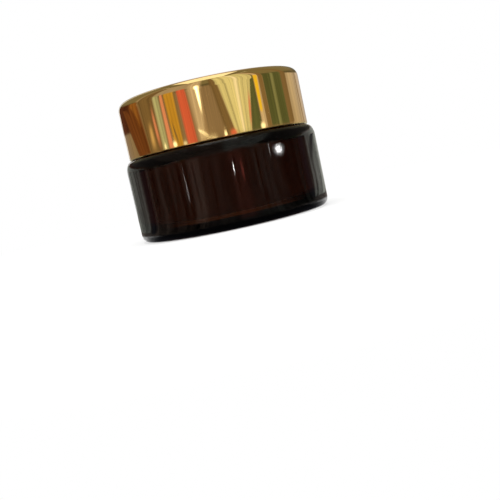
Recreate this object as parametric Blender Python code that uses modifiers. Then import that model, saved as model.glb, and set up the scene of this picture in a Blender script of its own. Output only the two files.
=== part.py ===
"""Cosmetic cream jar: a thick glass jar with a two-piece screw lid, a sealing disc and its cream.

Units are metres, +Z is up, and the origin is the centre of the circle the jar stands on.
The lid is closed: turning it counter-clockwise, seen from above, lifts it along the thread.
"""

import math

import bmesh
import bpy

# Glass jar
BODY_DIAMETER = 0.0600
BODY_HEIGHT = 0.0253
SHOULDER_WIDTH = 0.0018
SHOULDER_DROP = 0.0035
BASE_FILLET = 0.0022
BASE_THICKNESS = 0.0032
SIDE_WALL = 0.0055
CAVITY_FILLET = 0.0032
INNER_SHOULDER_RISE = 0.0042
BEARING_WIDTH = 0.0030
PUNT_DEPTH = 0.0008
PUNT_SLOPE = 0.0016
NECK_HEIGHT = 0.0119
NECK_WALL = 0.0025
NECK_ROOT_FILLET = 0.0006
RIM_FILLET = 0.0008

# Screw thread, one round bead on the glass and one in the cap
THREAD_LEAD = 0.0040
GLASS_BEAD_RADIUS = 0.0011
THREAD_CLEARANCE = 0.0004
THREAD_TOP_MARGIN = 0.0019
BEAD_FADE_TURNS = 0.10
BEAD_TIP_SHARE = 0.25
BEAD_POINTS_PER_TURN = 40

# Lid
LID_INSET = 0.0016
SEAM_GAP = 0.0003
SHELL_WALL = 0.0007
SHELL_EDGE_RADIUS = 0.0026
SHELL_LIP_RADIUS = 0.0002
CAP_WALL = 0.0015
CAP_TOP = 0.0015
CAP_SKIRT_RECESS = 0.0005
CAP_SKIRT_CHAMFER = 0.0004
LINER_THICKNESS = 0.0016
LINER_BEAD = 0.0005

# Sealing disc with its pull tab
DISC_FLANGE = 0.0010
DISC_FLOOR = 0.0010
DISC_WALL = 0.0010
DISC_PLUG_DEPTH = 0.0020
FLANGE_INSET = 0.0004
TAB_LENGTH = 0.0150
TAB_WIDTH = 0.0110
TAB_THICKNESS = 0.0008
TAB_LIFT = 0.0005
TAB_ROOT_LENGTH = 0.0020
TAB_ROOT_WIDTH = 0.0088
TAB_SINK = 0.0004

# Cream
HEAD_SPACE = 0.0055
CREAM_CROWN = 0.0006
CROWN_POINTS = 3

# Gap left between pieces that touch on the real jar
FIT_GAP = 0.0003

# Facets
TURN_STEPS = 56
ARC_STEP = math.radians(22.5)
MERGE_DISTANCE = 0.00002

# Radii, from the outside in
body_radius = BODY_DIAMETER / 2
lid_radius = body_radius - LID_INSET
shell_bore = lid_radius - SHELL_WALL
cap_radius = shell_bore - FIT_GAP
cap_bore = cap_radius - CAP_WALL
thread_gap = GLASS_BEAD_RADIUS + THREAD_CLEARANCE
neck_radius = cap_bore - thread_gap
mouth_radius = neck_radius - NECK_WALL
cavity_radius = body_radius - SIDE_WALL

# Heights, from the table up
neck_rim_z = BODY_HEIGHT + NECK_HEIGHT
flange_z = neck_rim_z + FIT_GAP
flange_top_z = flange_z + DISC_FLANGE
liner_z = flange_top_z + FIT_GAP
liner_top_z = liner_z + LINER_THICKNESS
cap_ceiling_z = liner_top_z + FIT_GAP
cap_top_z = cap_ceiling_z + CAP_TOP
shell_ceiling_z = cap_top_z + FIT_GAP
lid_top_z = shell_ceiling_z + SHELL_WALL
lid_edge_z = BODY_HEIGHT + SEAM_GAP
cap_skirt_z = lid_edge_z + CAP_SKIRT_RECESS
plug_floor_z = flange_z - DISC_PLUG_DEPTH
dish_floor_z = plug_floor_z + DISC_FLOOR
cream_top_z = plug_floor_z - HEAD_SPACE
inner_shoulder_z = BODY_HEIGHT - INNER_SHOULDER_RISE

# Thread: the cap's bead runs midway between the turns of the glass bead
cap_bead_radius = math.hypot(thread_gap, THREAD_LEAD / 2) - GLASS_BEAD_RADIUS - THREAD_CLEARANCE
cap_bead_z = cap_skirt_z + CAP_SKIRT_CHAMFER + cap_bead_radius
glass_bead_z = cap_bead_z + THREAD_LEAD / 2
thread_turns = (neck_rim_z - THREAD_TOP_MARGIN - GLASS_BEAD_RADIUS - glass_bead_z) / THREAD_LEAD

PART_COLLECTION = "cosmetic_cream_jar"
TOOL_COLLECTION = "shaping_tools"


def clear_scene():
    """Remove every object that the opened file holds."""
    for scene_object in list(bpy.data.objects):
        bpy.data.objects.remove(scene_object, do_unlink=True)


def new_collection(name):
    """Make a collection and link it to the scene."""
    collection = bpy.data.collections.new(name)
    bpy.context.scene.collection.children.link(collection)
    return collection


def finish_material(name, colour, roughness, metallic=0.0, transmission=0.0):
    """Make a plain Principled material for one piece."""
    material = bpy.data.materials.new(name)
    material.use_nodes = True
    shader = material.node_tree.nodes["Principled BSDF"]
    shader.inputs["Base Color"].default_value = (*colour, 1.0)
    shader.inputs["Roughness"].default_value = roughness
    shader.inputs["Metallic"].default_value = metallic
    shader.inputs["Transmission Weight"].default_value = transmission
    return material


def arc(centre_x, centre_z, radius, start_deg, end_deg, rise=None):
    """Points of a round corner in the profile plane, or of an oval one where its rise is given."""
    start, end = math.radians(start_deg), math.radians(end_deg)
    count = max(2, round(abs(end - start) / ARC_STEP))
    angles = [start + (end - start) * i / count for i in range(count + 1)]
    rise = radius if rise is None else rise
    return [(centre_x + radius * math.cos(a), centre_z + rise * math.sin(a)) for a in angles]


def turned(name, profile, material, collection):
    """Turn a profile of (radius, height) points, which ends on the axis at both ends."""
    mesh = bpy.data.meshes.new(name)
    points = [(radius, 0.0, height) for radius, height in profile]
    mesh.from_pydata(points, [(i, i + 1) for i in range(len(points) - 1)], [])
    mesh.materials.append(material)
    piece = bpy.data.objects.new(name, mesh)
    collection.objects.link(piece)
    screw = piece.modifiers.new("turn", "SCREW")
    screw.axis = "Z"
    screw.steps = TURN_STEPS
    screw.render_steps = TURN_STEPS
    screw.use_smooth_shade = True
    screw.use_merge_vertices = True
    screw.merge_threshold = MERGE_DISTANCE
    return piece


def as_tool(curve_object, collection):
    """Replace a curve by a closed mesh that can be joined to a piece."""
    collection.objects.link(curve_object)
    depsgraph = bpy.context.evaluated_depsgraph_get()
    mesh = bpy.data.meshes.new_from_object(curve_object.evaluated_get(depsgraph))
    welded = bmesh.new()
    welded.from_mesh(mesh)
    bmesh.ops.remove_doubles(welded, verts=welded.verts, dist=MERGE_DISTANCE)
    bmesh.ops.recalc_face_normals(welded, faces=welded.faces)
    welded.to_mesh(mesh)
    welded.free()
    tool = bpy.data.objects.new(curve_object.name + "_solid", mesh)
    tool.matrix_world = curve_object.matrix_world
    collection.objects.link(tool)
    bpy.data.objects.remove(curve_object, do_unlink=True)
    hide_tool(tool)
    return tool


def hide_tool(tool):
    """Keep a shaping tool out of the finished object."""
    tool.hide_render = True
    tool.display_type = "WIRE"


def join_on(piece, tool):
    """Join a shaping tool to a piece with a Boolean union."""
    union = piece.modifiers.new("join " + tool.name, "BOOLEAN")
    union.operation = "UNION"
    union.solver = "EXACT"
    union.object = tool


def thread_bead(name, radius, start_z, bead_radius, collection):
    """A round helical bead that fades out at both ends."""
    curve = bpy.data.curves.new(name, "CURVE")
    curve.dimensions = "3D"
    curve.bevel_depth = bead_radius
    curve.bevel_resolution = 2
    curve.use_fill_caps = True
    count = math.ceil(thread_turns * BEAD_POINTS_PER_TURN)
    spline = curve.splines.new("POLY")
    spline.points.add(count)
    for i, point in enumerate(spline.points):
        turns = thread_turns * i / count
        angle = math.tau * turns
        height = start_z + THREAD_LEAD * turns
        point.co = (radius * math.cos(angle), radius * math.sin(angle), height, 1.0)
        faded_in = min(1.0, min(turns, thread_turns - turns) / BEAD_FADE_TURNS)
        point.radius = BEAD_TIP_SHARE + (1.0 - BEAD_TIP_SHARE) * faded_in
    return as_tool(bpy.data.objects.new(name, curve), collection)


def make_glass_jar(parts, tools):
    """Thick amber glass with a rounded shoulder, a base ring and a threaded neck."""
    floor_corner = cavity_radius - CAVITY_FILLET
    bearing_outer = body_radius - BASE_FILLET
    bearing_inner = bearing_outer - BEARING_WIDTH
    root_x = neck_radius + NECK_ROOT_FILLET
    root_z = BODY_HEIGHT + NECK_ROOT_FILLET
    shoulder_z = BODY_HEIGHT - SHOULDER_DROP
    inside = [(0.0, BASE_THICKNESS)]
    inside += arc(floor_corner, BASE_THICKNESS + CAVITY_FILLET, CAVITY_FILLET, -90, 0)
    inside += [(cavity_radius, inner_shoulder_z), (mouth_radius, BODY_HEIGHT)]
    inside += arc(mouth_radius + RIM_FILLET, neck_rim_z - RIM_FILLET, RIM_FILLET, 180, 90)
    outside = arc(neck_radius - RIM_FILLET, neck_rim_z - RIM_FILLET, RIM_FILLET, 90, 0)
    outside += arc(root_x, root_z, NECK_ROOT_FILLET, 180, 270)
    outside += arc(body_radius - SHOULDER_WIDTH, shoulder_z, SHOULDER_WIDTH, 90, 0, SHOULDER_DROP)
    outside += arc(bearing_outer, BASE_FILLET, BASE_FILLET, 0, -90)
    outside += [(bearing_inner, 0.0), (bearing_inner - PUNT_SLOPE, PUNT_DEPTH), (0.0, PUNT_DEPTH)]
    amber = finish_material("amber_glass", (0.055, 0.022, 0.010), 0.04, transmission=0.6)
    jar = turned("glass_jar", inside + outside, amber, parts)
    join_on(jar, thread_bead("glass_bead", neck_radius, glass_bead_z, GLASS_BEAD_RADIUS, tools))
    return jar


def make_cream(parts):
    """Cream that fills the hollow up to the head space, a fit gap inside the glass."""
    side = cavity_radius - FIT_GAP
    throat = mouth_radius - FIT_GAP
    floor_z = BASE_THICKNESS + FIT_GAP
    fillet = CAVITY_FILLET - FIT_GAP
    shares = [i / CROWN_POINTS for i in range(CROWN_POINTS + 1)]
    profile = [(throat * share, cream_top_z - CREAM_CROWN * share ** 2) for share in shares]
    profile += [(throat, BODY_HEIGHT - FIT_GAP), (side, inner_shoulder_z - FIT_GAP)]
    profile += arc(side - fillet, floor_z + fillet, fillet, 0, -90)
    profile += [(0.0, floor_z)]
    cream = finish_material("cream", (0.86, 0.80, 0.69), 0.45)
    return turned("cream_fill", profile, cream, parts)


def make_sealing_disc(parts, tools):
    """Dished plastic disc on the rim, with a flat pull tab moulded on its floor."""
    flange_radius = neck_radius - FLANGE_INSET
    plug_radius = mouth_radius - FIT_GAP
    dish_radius = plug_radius - DISC_WALL
    profile = [(0.0, dish_floor_z), (dish_radius, dish_floor_z), (dish_radius, flange_top_z)]
    profile += [(flange_radius, flange_top_z), (flange_radius, flange_z)]
    profile += [(plug_radius, flange_z), (plug_radius, plug_floor_z), (0.0, plug_floor_z)]
    plastic = finish_material("clear_white_plastic", (0.84, 0.85, 0.84), 0.35)
    disc = turned("sealing_disc", profile, plastic, parts)
    join_on(disc, tab_root(tools))
    join_on(disc, tab_plate(tools))
    return disc


def tab_root(tools):
    """The short block that holds the tab clear of the disc's floor."""
    height = TAB_SINK + TAB_LIFT + TAB_THICKNESS / 2
    bpy.ops.mesh.primitive_cube_add(size=1.0)
    root = bpy.context.object
    root.name = "tab_root"
    root.scale = (TAB_ROOT_LENGTH, TAB_ROOT_WIDTH, height)
    root.location.x = (TAB_ROOT_LENGTH - TAB_LENGTH) / 2
    root.location.z = dish_floor_z - TAB_SINK + height / 2
    bpy.ops.object.transform_apply(location=True, rotation=False, scale=True)
    for holder in list(root.users_collection):
        holder.objects.unlink(root)
    tools.objects.link(root)
    hide_tool(root)
    return root


def tab_plate(tools):
    """A flat plate, square at its root and round at its free end."""
    curve = bpy.data.curves.new("tab_plate", "CURVE")
    curve.dimensions = "2D"
    curve.fill_mode = "BOTH"
    curve.extrude = TAB_THICKNESS / 2
    half = TAB_WIDTH / 2
    outline = [(-TAB_LENGTH / 2, half), (-TAB_LENGTH / 2, -half)]
    outline += arc(TAB_LENGTH / 2 - half, 0.0, half, -90, 90)
    spline = curve.splines.new("POLY")
    spline.points.add(len(outline) - 1)
    for point, (x, y) in zip(spline.points, outline):
        point.co = (x, y, 0.0, 1.0)
    spline.use_cyclic_u = True
    plate = bpy.data.objects.new("tab_plate", curve)
    plate.location.z = dish_floor_z + TAB_LIFT + TAB_THICKNESS / 2
    return as_tool(plate, tools)


def make_lid_liner(parts):
    """Loose foam wad between the cap's ceiling and the disc."""
    radius = cap_bore - FIT_GAP
    profile = [(0.0, liner_top_z), (radius, liner_top_z), (radius, liner_z), (0.0, liner_z)]
    foam = finish_material("white_foam", (0.88, 0.88, 0.86), 0.8)
    return turned("lid_liner", profile, foam, parts)


def make_lid_inner_cap(parts, tools):
    """Moulded cap with the lid's thread and the bead that keeps the liner in."""
    corner = SHELL_EDGE_RADIUS - SHELL_WALL - FIT_GAP
    bead_z = liner_z - FIT_GAP - LINER_BEAD
    profile = [(0.0, cap_top_z)]
    profile += arc(cap_radius - corner, cap_top_z - corner, corner, 90, 0)
    profile += [(cap_radius, cap_skirt_z), (cap_bore + CAP_SKIRT_CHAMFER, cap_skirt_z)]
    profile += [(cap_bore, cap_skirt_z + CAP_SKIRT_CHAMFER)]
    profile += arc(cap_bore, bead_z, LINER_BEAD, 270, 90)
    profile += [(cap_bore, cap_ceiling_z), (0.0, cap_ceiling_z)]
    plastic = finish_material("white_plastic", (0.86, 0.86, 0.84), 0.4)
    cap = turned("lid_inner_cap", profile, plastic, parts)
    join_on(cap, thread_bead("cap_bead", cap_bore, cap_bead_z, cap_bead_radius, tools))
    return cap


def make_lid_shell(parts):
    """Thin drawn metal shell over the cap, with a rounded top edge."""
    inner_corner = SHELL_EDGE_RADIUS - SHELL_WALL
    lip_z = lid_edge_z + SHELL_LIP_RADIUS
    profile = [(0.0, lid_top_z)]
    profile += arc(lid_radius - SHELL_EDGE_RADIUS, lid_top_z - SHELL_EDGE_RADIUS, SHELL_EDGE_RADIUS, 90, 0)
    profile += arc(lid_radius - SHELL_LIP_RADIUS, lip_z, SHELL_LIP_RADIUS, 0, -90)
    profile += arc(shell_bore + SHELL_LIP_RADIUS, lip_z, SHELL_LIP_RADIUS, -90, -180)
    profile += arc(shell_bore - inner_corner, shell_ceiling_z - inner_corner, inner_corner, 0, 90)
    profile += [(0.0, shell_ceiling_z)]
    gold = finish_material("gold_metal", (0.83, 0.60, 0.24), 0.12, metallic=1.0)
    return turned("lid_shell", profile, gold, parts)


def carrier(name, riders, collection, parent=None):
    """An empty on the jar's axis that carries the pieces which move together."""
    axis = bpy.data.objects.new(name, None)
    axis.empty_display_type = "SINGLE_ARROW"
    axis.empty_display_size = BODY_DIAMETER
    collection.objects.link(axis)
    axis.parent = parent
    for rider in riders:
        rider.parent = axis
    return axis


def main():
    """Build the closed jar."""
    clear_scene()
    parts = new_collection(PART_COLLECTION)
    tools = new_collection(TOOL_COLLECTION)
    jar = make_glass_jar(parts, tools)
    cream = make_cream(parts)
    disc = make_sealing_disc(parts, tools)
    liner = make_lid_liner(parts)
    cap = make_lid_inner_cap(parts, tools)
    shell = make_lid_shell(parts)
    jar_base = carrier("jar_base", [jar, cream], parts)
    carrier("disc_lift_axis", [disc], parts, jar_base)
    lid_lift = carrier("lid_lift_axis", [liner], parts, jar_base)
    carrier("lid_turn_axis", [cap, shell], parts, lid_lift)


main()
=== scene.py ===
"""Finishes the cosmetic cream jar: fine glass, gold, foam and cream pieces in a plain studio.

Units are metres, +Z is up and the origin is the centre of the circle the jar stands on.
Every piece is turned about the jar's axis, and rides on the body that carries it.
"""

import math
from collections import namedtuple

import bmesh
import bpy
from bpy.props import FloatProperty, FloatVectorProperty, IntProperty, PointerProperty
from mathutils import Matrix, Vector


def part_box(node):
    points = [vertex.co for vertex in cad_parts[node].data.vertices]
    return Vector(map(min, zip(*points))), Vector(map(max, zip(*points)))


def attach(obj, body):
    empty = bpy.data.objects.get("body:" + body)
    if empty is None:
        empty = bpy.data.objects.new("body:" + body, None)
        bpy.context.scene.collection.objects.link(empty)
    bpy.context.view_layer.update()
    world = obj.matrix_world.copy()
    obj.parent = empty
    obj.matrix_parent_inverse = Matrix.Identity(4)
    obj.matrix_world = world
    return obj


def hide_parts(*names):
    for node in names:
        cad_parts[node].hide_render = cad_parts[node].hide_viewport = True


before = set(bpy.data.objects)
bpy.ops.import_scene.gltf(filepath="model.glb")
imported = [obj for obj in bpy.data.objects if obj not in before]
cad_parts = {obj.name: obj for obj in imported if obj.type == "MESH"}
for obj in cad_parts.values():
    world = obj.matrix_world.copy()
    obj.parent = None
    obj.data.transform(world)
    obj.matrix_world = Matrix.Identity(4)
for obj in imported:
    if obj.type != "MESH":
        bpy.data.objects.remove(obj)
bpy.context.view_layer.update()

bl_info = {
    "name": "Cream Jar",
    "version": (1, 0, 0),
    "blender": (4, 5, 0),
    "location": "View3D > Sidebar > Cream Jar",
    "description": "Builds the fine pieces of a cream jar and the studio it stands in",
    "category": "Object",
}

TURN_SEGMENTS = 288
ARC_STEP = math.radians(7.5)
FEWEST_STEPS = 3
EASE_STEPS = 12
PUNT_STEPS = 6
BEVEL_STEPS = 3
ROUND_PROFILE = 0.5
LONGEST_STRETCH = 0.0008
THREAD_STRETCH = 0.00016
SAME_RADIUS = 1e-7
EDGE_HOLD = 0.00004
SHARP_ANGLE = math.radians(40.0)
# How steeply the swirl on the cream sets in round its middle, and fades out at its edge.
EYE_SLOPE = 4.0
EDGE_SLOPE = 5.0


def outer_radius(node):
    """Radius of a turned CAD node, whose box is centred on the axis."""
    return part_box(node)[1].x


def low_z(node):
    """Height of a CAD node's lowest point."""
    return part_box(node)[0].z


def high_z(node):
    """Height of a CAD node's highest point."""
    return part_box(node)[1].z


def length(name, description, default):
    """A length that a user can change, in metres."""
    return FloatProperty(
        name=name, description=description, default=default,
        unit="LENGTH", subtype="DISTANCE", precision=5,
    )


def number(name, description, default):
    """A plain number that a user can change."""
    return FloatProperty(name=name, description=description, default=default, precision=4)


def angle(name, description, degrees):
    """An angle that a user can change, given here in degrees."""
    return FloatProperty(
        name=name, description=description, default=math.radians(degrees),
        unit="ROTATION", subtype="ANGLE",
    )


def colour(name, description, default):
    """A colour that a user can change, in scene-linear values."""
    return FloatVectorProperty(
        name=name, description=description, default=default,
        size=3, min=0.0, soft_max=1.0, subtype="COLOR",
    )


def count(name, description, default):
    """A whole number that a user can change."""
    return IntProperty(name=name, description=description, default=default)


class GlassSizes(bpy.types.PropertyGroup):
    """Sizes of the glass jar"""

    body_radius: length("Body radius", "Outside of the glass wall", outer_radius("glass_jar"))
    rim_height: length("Rim height", "Top of the neck", high_z("glass_jar"))
    body_height: length("Body height", "Top of the shoulder", 0.0253)
    shoulder_width: length("Shoulder width", "How far in the shoulder curves", 0.0018)
    shoulder_drop: length("Shoulder drop", "How far down the shoulder curves", 0.0035)
    base_fillet: length("Base fillet", "Rounding of the lower edge", 0.0022)
    base_thickness: length("Base thickness", "Glass under the cream", 0.0032)
    side_wall: length("Side wall", "Thickness of the body's wall", 0.0055)
    cavity_fillet: length("Cavity fillet", "Rounding of the hollow's lower corner", 0.0032)
    inner_shoulder: length("Inner shoulder", "Height of the hollow's narrowing to the mouth", 0.0042)
    neck_radius: length("Neck radius", "Outside of the neck between the thread's turns", 0.0244)
    neck_wall: length("Neck wall", "Thickness of the neck's wall", 0.0025)
    neck_root: length("Neck root", "Fillet between neck and shoulder", 0.0006)
    rim_fillet: length("Rim fillet", "Rounding of the rim's edges", 0.0008)
    bearing_width: length("Bearing width", "Width of the ring the jar stands on", 0.0030)
    punt_depth: length("Punt depth", "How far the base is hollowed", 0.0008)
    punt_slope: length("Punt slope", "Width of the slope into the hollowed base", 0.0016)
    stipple_depth: length("Stipple depth", "Depth of the notches in the bearing ring", 0.00012)
    stipple_count: count("Stipple count", "Notches in the bearing ring", 72)


class ThreadSizes(bpy.types.PropertyGroup):
    """Sizes of the screw thread"""

    lead: length("Lead", "Rise of the thread in one turn", 0.0040)
    glass_bead: length("Glass bead", "Height of the bead on the neck", 0.0011)
    clearance: length("Clearance", "Room between the two beads", 0.0004)
    top_margin: length("Top margin", "Plain neck above the bead", 0.0019)
    spread: number("Spread", "Half width of a bead, as a multiple of its height", 1.25)
    fade_turns: number("Fade", "Share of a turn over which a bead's end fades out", 0.10)


class LidSizes(bpy.types.PropertyGroup):
    """Sizes of the lid's shell, inner cap and liner"""

    shell_radius: length("Shell radius", "Outside of the gold shell", outer_radius("lid_shell"))
    shell_low: length("Shell edge", "Height of the shell's lower edge", low_z("lid_shell"))
    shell_high: length("Shell top", "Height of the shell's top", high_z("lid_shell"))
    shell_wall: length("Shell wall", "Thickness of the shell", 0.0007)
    edge_radius: length("Edge radius", "Rounding of the shell's top edge", 0.0026)
    bevel_height: length("Bevel height", "Height of the bevel round the shell's lower edge", 0.0003)
    bevel_depth: length("Bevel depth", "Depth of the bevel round the shell's lower edge", 0.00019)
    lip_radius: length("Lip radius", "Rounding inside the shell's lower edge", 0.0002)
    cap_radius: length("Cap radius", "Outside of the inner cap", outer_radius("lid_inner_cap"))
    cap_low: length("Cap skirt", "Height of the inner cap's lower edge", low_z("lid_inner_cap"))
    cap_high: length("Cap top", "Height of the inner cap's top", high_z("lid_inner_cap"))
    cap_wall: length("Cap wall", "Thickness of the cap's wall", 0.0015)
    cap_roof: length("Cap roof", "Thickness of the cap's top", 0.0015)
    skirt_chamfer: length("Skirt chamfer", "Chamfer inside the cap's lower edge", 0.0004)
    liner_radius: length("Liner radius", "Edge of the foam liner", outer_radius("lid_liner"))
    liner_low: length("Liner underside", "Height of the liner's underside", low_z("lid_liner"))
    liner_high: length("Liner top", "Height of the liner's top", high_z("lid_liner"))
    liner_bead: length("Liner bead", "Bead in the cap that keeps the liner in", 0.0005)
    liner_edge: length("Liner edge", "Rounding of the liner's edge", 0.0003)
    liner_press: length("Liner press", "Depth of the ring that the disc has pressed in", 0.00018)


class DiscSizes(bpy.types.PropertyGroup):
    """Sizes of the sealing disc and its pull tab"""

    flange_radius: length("Flange radius", "Edge of the disc", outer_radius("sealing_disc"))
    plug_low: length("Plug underside", "Height of the plug's underside", low_z("sealing_disc"))
    flange_high: length("Flange top", "Height of the flange's top", high_z("sealing_disc"))
    flange: length("Flange", "Thickness of the flange", 0.0010)
    floor: length("Floor", "Thickness of the dish's floor", 0.0010)
    wall: length("Wall", "Thickness of the plug's wall", 0.0010)
    rounding: length("Rounding", "Rounding of the moulded edges", 0.00025)
    rib_radius: length("Rib radius", "Radius of the stiffening ring in the dish", 0.0135)
    rib_height: length("Rib height", "Height of the stiffening ring", 0.00035)
    tab_length: length("Tab length", "Length of the pull tab", 0.0150)
    tab_width: length("Tab width", "Width of the pull tab", 0.0110)
    tab_thickness: length("Tab thickness", "Thickness of the pull tab", 0.0008)
    tab_lift: length("Tab lift", "Gap under the pull tab", 0.0005)
    root_length: length("Root length", "Length of the block that holds the tab", 0.0020)
    root_width: length("Root width", "Width of the block that holds the tab", 0.0088)
    grip_count: count("Grip bars", "Bars across the tab's free end", 4)
    grip_pitch: length("Grip pitch", "Distance between the grip bars", 0.0013)
    grip_length: length("Grip length", "Length of a grip bar", 0.0058)
    grip_width: length("Grip width", "Width of a grip bar", 0.0006)
    grip_height: length("Grip height", "Height of a grip bar over the tab", 0.00028)


class CreamSizes(bpy.types.PropertyGroup):
    """Sizes of the cream"""

    top: length("Top", "Height of the highest ridge", high_z("cream_fill"))
    low: length("Underside", "Height of the cream's underside", low_z("cream_fill"))
    fit: length("Fit", "Room between the cream and the glass", 0.0003)
    ridge: length("Ridge", "Height of the spatula's ridges", 0.0007)
    pitch: length("Pitch", "Distance between the ridges of the swirl", 0.0062)
    dish: length("Dish", "How far the top sinks towards its edge", 0.0007)


class FinishColours(bpy.types.PropertyGroup):
    """Colours of the jar's finishes"""

    gold: colour("Gold", "Bright anodised shell", (0.83, 0.60, 0.24))
    gold_deep: colour("Deep gold", "Slightly redder patches of the shell", (0.78, 0.54, 0.19))
    amber: colour("Amber", "What the dark glass lets through", (0.55, 0.35, 0.04))
    amber_depth: number("Amber depth", "Density of the dark glass", 770.0)
    cream: colour("Cream", "The cream", (0.86, 0.80, 0.69))
    # Painted shade: a darker cream painted where the cream's surface sinks into hollows.
    cream_shade: colour("Cream shade", "Hollows of the cream", (0.80, 0.72, 0.58))
    disc: colour("Disc", "Natural plastic of the sealing disc", (0.84, 0.85, 0.84))
    cap: colour("Cap", "White plastic of the inner cap", (0.86, 0.86, 0.84))
    foam: colour("Foam", "White foam of the liner", (0.88, 0.88, 0.86))
    floor: colour("Floor", "Pale floor of the studio", (0.86, 0.86, 0.85))


class CardColours(bpy.types.PropertyGroup):
    """Colours of the studio's cards, which only reflections show"""

    lamp: colour("Lamp", "White card that is lit from behind", (1.0, 1.0, 1.0))
    cloth: colour("Cloth", "Warm grey surround on the right", (0.56, 0.49, 0.45))
    tweed: colour("Tweed", "Dark warm grey surround on the left", (0.30, 0.24, 0.19))
    slate: colour("Slate", "Cool grey mats beside the glass, and aprons", (0.45, 0.46, 0.41))
    taupe: colour("Taupe", "Screen behind the cards", (0.34, 0.26, 0.21))
    umber: colour("Umber", "Dark brown card", (0.09, 0.032, 0.018))
    sienna: colour("Sienna", "Orange brown card", (0.18, 0.068, 0.028))
    bark: colour("Bark", "Brown card", (0.25, 0.18, 0.11))
    straw: colour("Straw", "Warm yellow card", (0.70, 0.51, 0.30))
    rose: colour("Rose", "Salmon card", (0.86, 0.38, 0.32))
    sage: colour("Sage", "Green grey card", (0.50, 0.58, 0.50))
    amber: colour("Amber", "Deep yellow card", (0.56, 0.34, 0.06))
    red: colour("Red", "Red card", (0.78, 0.17, 0.13))
    beige: colour("Beige", "Warm pale card", (0.70, 0.60, 0.58))
    ivory: colour("Ivory", "Pale card", (0.86, 0.88, 0.66))
    olive: colour("Olive", "Dark green card", (0.12, 0.15, 0.08))
    moss: colour("Moss", "Mid green card", (0.26, 0.30, 0.20))
    yellow: colour("Yellow", "Bright yellow card", (0.95, 0.70, 0.06))
    rust: colour("Rust", "Warm brown card", (0.33, 0.15, 0.045))
    bronze: colour("Bronze", "Roof, and the upper part of the screen", (0.22, 0.20, 0.135))
    shade: colour("Shade", "Dark mat round the jar, and the front apron", (0.11, 0.095, 0.085))
    night: colour("Night", "Darkest card and mats, close round the jar", (0.05, 0.05, 0.06))


class StudioSettings(bpy.types.PropertyGroup):
    """Camera, cards and lamps"""

    camera_distance: length("Camera distance", "From the jar's axis to the lens", 0.225)
    camera_height: length("Camera height", "Lens above the floor", 0.01595)
    camera_pitch: angle("Camera pitch", "Downward tilt of the camera", 6.5)
    camera_yaw: angle("Camera yaw", "Turn of the camera to the right", 0.61)
    camera_roll: angle("Camera roll", "Lean of the jar to the left in the picture", 12.24)
    camera_lens: number("Camera lens", "Focal length in millimetres", 50.76)
    screen_reach: length("Screen reach", "From the jar's axis to the cards", 0.50)
    roof_height: length("Roof height", "Height of the roof and its skylight", 1.0)
    core_start: length("Core start", "Inner edge of the dark card round the jar's foot", 0.0288)
    core_reach: length("Core reach", "Outer edge of the dark card round the jar's foot", 0.085)
    core_level: length("Core level", "Height of the dark card round the jar's foot", 0.0001)
    ring_start: length("Ring start", "Inner edge of the pale ring round the dark card", 0.040)
    ring_reach: length("Ring reach", "Outer edge of the pale ring round the dark card", 0.046)
    mat_reach: length("Mat reach", "Near edge of the mats", 0.038)
    apron_start: length("Apron start", "Inner edge of the aprons that the shoulder mirrors", 0.0302)
    apron_reach: length("Apron reach", "Outer edge of the aprons that the shoulder mirrors", 0.15)
    apron_level: length("Apron level", "Height of the aprons' inner edge", 0.0257)
    apron_slope: number("Apron slope", "Rise of the aprons over their width", 0.043)
    skylight_half: length("Skylight", "Half the width of the white skylight", 0.285)
    skylight_front: length("Skylight front", "How far the skylight reaches to the front", 0.39)
    floor_size: length("Floor size", "Half the floor's width", 3.0)
    fade_start: length("Fade start", "Where the floor starts to fade to white", 0.05)
    fade_width: length("Fade width", "Width of the floor's fade to white", 0.12)
    floor_glow: number("Floor glow", "Share of the floor's white that is the backdrop's own", 0.62)
    room_light: number("Room light", "Soft light from all round", 0.55)


class CreamJar(bpy.types.PropertyGroup):
    """All the settings of the cream jar"""

    glass: PointerProperty(type=GlassSizes)
    thread: PointerProperty(type=ThreadSizes)
    lid: PointerProperty(type=LidSizes)
    disc: PointerProperty(type=DiscSizes)
    cream: PointerProperty(type=CreamSizes)
    colours: PointerProperty(type=FinishColours)
    cards: PointerProperty(type=CardColours)
    studio: PointerProperty(type=StudioSettings)


def sweep(first, last, steps):
    """Evenly spread values from first to last, both included."""
    return [first + (last - first) * i / steps for i in range(steps + 1)]


def arc(centre_x, centre_z, radius, start_deg, end_deg, rise=None):
    """Points of a round corner in the profile plane, or of an oval one where its rise is given."""
    start, end = math.radians(start_deg), math.radians(end_deg)
    steps = max(FEWEST_STEPS, round(abs(end - start) / ARC_STEP))
    turns = sweep(start, end, steps)
    rise = radius if rise is None else rise
    return [(centre_x + radius * math.cos(a), centre_z + rise * math.sin(a)) for a in turns]


def ease(start, end, steps=EASE_STEPS):
    """Points of a smooth S-shaped run between two profile points, both ends included."""
    points = []
    for share in sweep(0.0, 1.0, steps):
        bend = 0.5 - 0.5 * math.cos(math.pi * share)
        points.append((start[0] + (end[0] - start[0]) * bend, start[1] + (end[1] - start[1]) * share))
    return points


def stretched(profile, longest=LONGEST_STRETCH):
    """The same profile with points added, so that no stretch is longer than given."""
    points = [profile[0]]
    for (x0, z0), (x1, z1) in zip(profile, profile[1:]):
        steps = max(1, math.ceil(math.hypot(x1 - x0, z1 - z0) / longest))
        points += [
            (x0 + (x1 - x0) * i / steps, z0 + (z1 - z0) * i / steps)
            for i in range(1, steps + 1)
        ]
    return points


def smooth_step(share):
    """A share from 0 to 1, eased at both ends and clamped."""
    share = min(1.0, max(0.0, share))
    return share * share * (3.0 - 2.0 * share)


def smooth(mesh):
    """Shade a mesh smooth, with its sharp edges kept."""
    mesh.shade_smooth()
    mesh.set_sharp_from_angle(angle=SHARP_ANGLE)


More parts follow.
